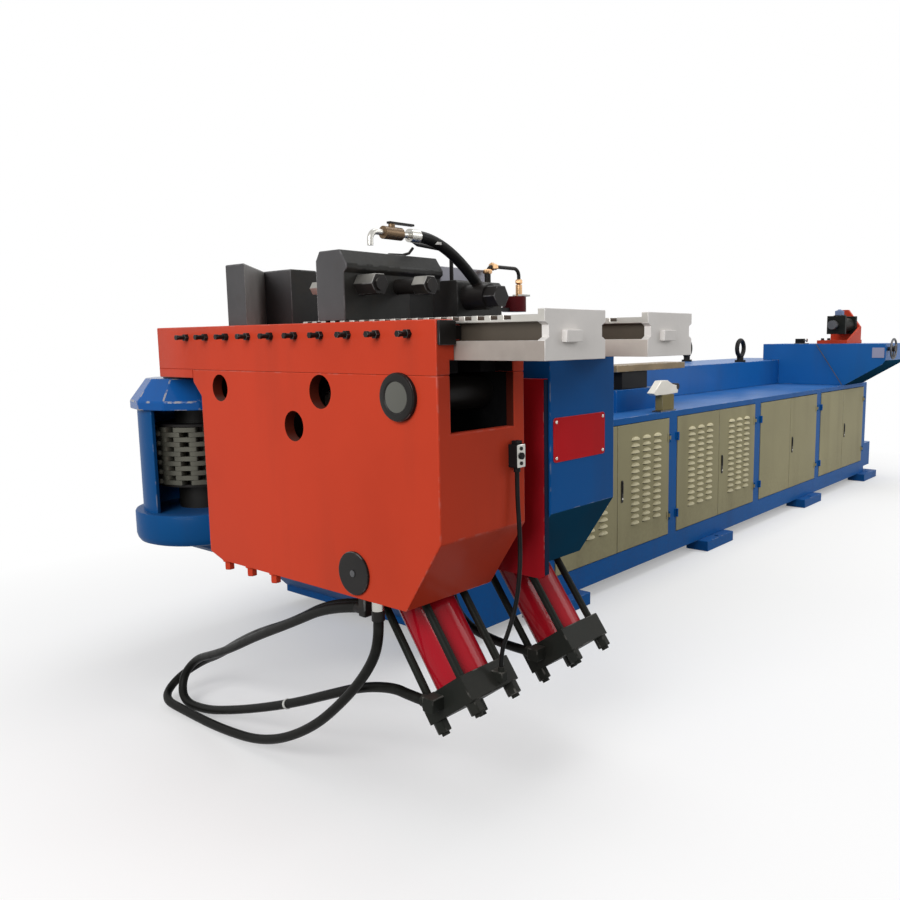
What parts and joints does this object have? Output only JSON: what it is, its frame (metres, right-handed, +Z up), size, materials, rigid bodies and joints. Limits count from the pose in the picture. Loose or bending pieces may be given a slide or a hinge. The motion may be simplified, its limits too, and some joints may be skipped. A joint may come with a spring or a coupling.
{
  "type": "pipe bending machine",
  "caption": "Hydraulic pipe bending machine: long cabinet bed, swing arm with clamp slide and rocker cylinder, fixed pressure slide, chain-driven spindle, rear mandrel unit.",
  "frame": {"origin": "centre of the machine's bounding box, on the floor", "axes": "+X along the bed from the bending head to the mandrel end, +Y from the door side to the far side, +Z up"},
  "size_m": [6.547, 2.32, 1.5675],
  "materials": {
    "blue_paint": "gloss machine blue paint",
    "orange_red_paint": "gloss orange-red paint",
    "crimson_paint": "satin crimson paint",
    "red_barrel": "gloss red paint",
    "black_caps": "satin black paint",
    "black_tool": "blackened tool steel",
    "ground_steel": "ground slideway steel",
    "dark_steel": "oiled dark steel",
    "zinc_steel": "zinc-plated fasteners",
    "chrome_rod": "hard chrome",
    "olive_steel": "olive-grey door enamel",
    "brass_fitting": "bare brass",
    "black_rubber": "black hydraulic hose",
    "black_plastic": "moulded black plastic",
    "grey_unit": "grey machinery enamel",
    "bronze_plate": "worn bronze"
  },
  "bodies": {
    "frame": {"bed_frame": "blue_paint", "bed_beam": "blue_paint", "head_box": "blue_paint", "nose_drum": "blue_paint", "nose_cap": "blue_paint", "pressure_bracket": "blue_paint", "bracket_side_plate": "crimson_paint", "bracket_pins": "dark_steel", "side_panels": "blue_paint", "foot_pads": "blue_paint", "lifting_eyes": "dark_steel", "rear_platform": "blue_paint", "bend_cylinders": "grey_unit", "power_unit": "grey_unit", "support_stand": "bronze_plate", "pressure_barrel": "red_barrel", "pressure_caps": "black_caps", "pressure_hose": "black_rubber"},
    "arm": {"swing_arm": "orange_red_paint", "clamp_guide": "orange_red_paint", "spindle": "dark_steel", "sprocket": "dark_steel", "chain": "dark_steel", "gib_screws": "dark_steel", "pivot_pins": "dark_steel", "bend_die_block": "black_tool", "arm_switch": "black_plastic", "clamp_hose": "black_rubber", "cap_hose": "black_rubber", "switch_cable": "black_rubber", "clamp_barrel": "red_barrel", "clamp_caps": "black_caps"},
    "clamp_carriage": {"clamp_slide": "ground_steel", "clamp_die_seat": "black_tool"},
    "clamp_rocker": {"clamp_rocker": "dark_steel"},
    "clamp_piston": {"clamp_rod": "chrome_rod"},
    "pressure_carriage": {"pressure_slide": "ground_steel", "pressure_die_seat": "black_tool", "lube_cartridge": "dark_steel", "lube_line": "brass_fitting", "lube_hose": "black_rubber"},
    "pressure_rocker": {"pressure_rocker": "dark_steel"},
    "pressure_piston": {"pressure_rod": "chrome_rod"},
    "clamp_screw_a": {"clamp_screw_a": "zinc_steel"},
    "clamp_screw_b": {"clamp_screw_b": "zinc_steel"},
    "valve_lever": {"valve_lever": "orange_red_paint"},
    "pull_rod": {"bend_rod_pull": "chrome_rod"},
    "return_rod": {"bend_rod_return": "chrome_rod"},
    "mandrel_carriage": {"cross_slide": "orange_red_paint", "mandrel_cylinder": "grey_unit"},
    "mandrel_piston": {"mandrel_rod": "chrome_rod"},
    "handwheel": {"handwheel": "chrome_rod"},
    "door_1": {"door_1": "olive_steel"},
    "door_2": {"door_2": "olive_steel"},
    "door_3": {"door_3": "olive_steel"},
    "door_4": {"door_4": "olive_steel"},
    "door_5": {"door_5": "olive_steel"},
    "door_6": {"door_6": "olive_steel"},
    "door_7": {"door_7": "olive_steel"},
    "door_8": {"door_8": "olive_steel"}
  },
  "joints": [
    {"name": "arm_swing", "type": "hinge", "parent": "frame", "child": "arm", "pos_m": [-2.8755, 0.77, 1.3], "axis": [0, 0, -1], "range_deg": [0, 185]},
    {"name": "clamp_travel", "type": "slide", "parent": "arm", "child": "clamp_carriage", "axis": [0, 1, 0], "range_m": [0, 0.21]},
    {"name": "clamp_rocker_turn", "type": "hinge", "parent": "arm", "child": "clamp_rocker", "pos_m": [-3.0575, -0.21774, 0.7908], "axis": [-1, 0, 0], "range_deg": [0, 39.58]},
    {"name": "clamp_piston_stroke", "type": "slide", "parent": "arm", "child": "clamp_piston", "axis": [0, 0.5861, 0.8102], "range_m": [0, 0.1438]},
    {"name": "pressure_travel", "type": "slide", "parent": "frame", "child": "pressure_carriage", "axis": [0, 1, 0], "range_m": [0, 0.21]},
    {"name": "pressure_rocker_turn", "type": "hinge", "parent": "frame", "child": "pressure_rocker", "pos_m": [-2.6245, -0.21774, 0.7908], "axis": [-1, 0, 0], "range_deg": [0, 39.58]},
    {"name": "pressure_piston_stroke", "type": "slide", "parent": "frame", "child": "pressure_piston", "axis": [0, 0.5861, 0.8102], "range_m": [0, 0.1438]},
    {"name": "clamp_screw_a_turn", "type": "hinge", "parent": "clamp_carriage", "child": "clamp_screw_a", "pos_m": [-3.1145, -0.489, 1.4], "axis": [0, 1, 0], "continuous": true},
    {"name": "clamp_screw_b_turn", "type": "hinge", "parent": "clamp_carriage", "child": "clamp_screw_b", "pos_m": [-2.9825, -0.489, 1.4], "axis": [0, 1, 0], "continuous": true},
    {"name": "valve_turn", "type": "hinge", "parent": "pressure_carriage", "child": "valve_lever", "pos_m": [-3.0405, -0.532, 1.561], "axis": [0, 0, 1], "range_deg": [-90, 0]},
    {"name": "pull_rod_stroke", "type": "slide", "parent": "frame", "child": "pull_rod", "axis": [1, 0, 0], "range_m": [0, 0.4848]},
    {"name": "return_rod_stroke", "type": "slide", "parent": "frame", "child": "return_rod", "axis": [1, 0, 0], "range_m": [-0.4848, 0]},
    {"name": "mandrel_cross", "type": "slide", "parent": "frame", "child": "mandrel_carriage", "axis": [0, 1, 0], "range_m": [-0.06, 0.06]},
    {"name": "mandrel_stroke", "type": "slide", "parent": "mandrel_carriage", "child": "mandrel_piston", "axis": [-1, 0, 0], "range_m": [0, 0.15]},
    {"name": "handwheel_turn", "type": "hinge", "parent": "frame", "child": "handwheel", "pos_m": [2.4245, -0.372, 1.15], "axis": [0, 1, 0], "range_deg": [-545, 545]},
    {"name": "door_1_hinge", "type": "hinge", "parent": "frame", "child": "door_1", "pos_m": [-1.6265, -0.029, 0.495], "axis": [0, 0, -1], "range_deg": [0, 90]},
    {"name": "door_2_hinge", "type": "hinge", "parent": "frame", "child": "door_2", "pos_m": [-0.5665, -0.029, 0.495], "axis": [0, 0, 1], "range_deg": [0, 90]},
    {"name": "door_3_hinge", "type": "hinge", "parent": "frame", "child": "door_3", "pos_m": [-0.4765, -0.029, 0.495], "axis": [0, 0, -1], "range_deg": [0, 90]},
    {"name": "door_4_hinge", "type": "hinge", "parent": "frame", "child": "door_4", "pos_m": [0.5835, -0.029, 0.495], "axis": [0, 0, 1], "range_deg": [0, 90]},
    {"name": "door_5_hinge", "type": "hinge", "parent": "frame", "child": "door_5", "pos_m": [0.6735, -0.029, 0.495], "axis": [0, 0, -1], "range_deg": [0, 90]},
    {"name": "door_6_hinge", "type": "hinge", "parent": "frame", "child": "door_6", "pos_m": [1.7335, -0.029, 0.495], "axis": [0, 0, 1], "range_deg": [0, 90]},
    {"name": "door_7_hinge", "type": "hinge", "parent": "frame", "child": "door_7", "pos_m": [1.8235, -0.029, 0.495], "axis": [0, 0, -1], "range_deg": [0, 90]},
    {"name": "door_8_hinge", "type": "hinge", "parent": "frame", "child": "door_8", "pos_m": [2.8835, -0.029, 0.495], "axis": [0, 0, 1], "range_deg": [0, 90]}
  ],
  "couplings": [
    {"joint": "clamp_rocker_turn", "follows": "clamp_travel", "rad_per_m": 3.2648},
    {"joint": "clamp_piston_stroke", "follows": "clamp_travel", "ratio": 0.6798},
    {"joint": "pressure_rocker_turn", "follows": "pressure_travel", "rad_per_m": 3.2648},
    {"joint": "pressure_piston_stroke", "follows": "pressure_travel", "ratio": 0.6798},
    {"joint": "pull_rod_stroke", "follows": "arm_swing", "m_per_rad": 0.15},
    {"joint": "return_rod_stroke", "follows": "arm_swing", "m_per_rad": -0.15},
    {"joint": "handwheel_turn", "follows": "mandrel_cross", "rad_per_m": 157.08}
  ]
}
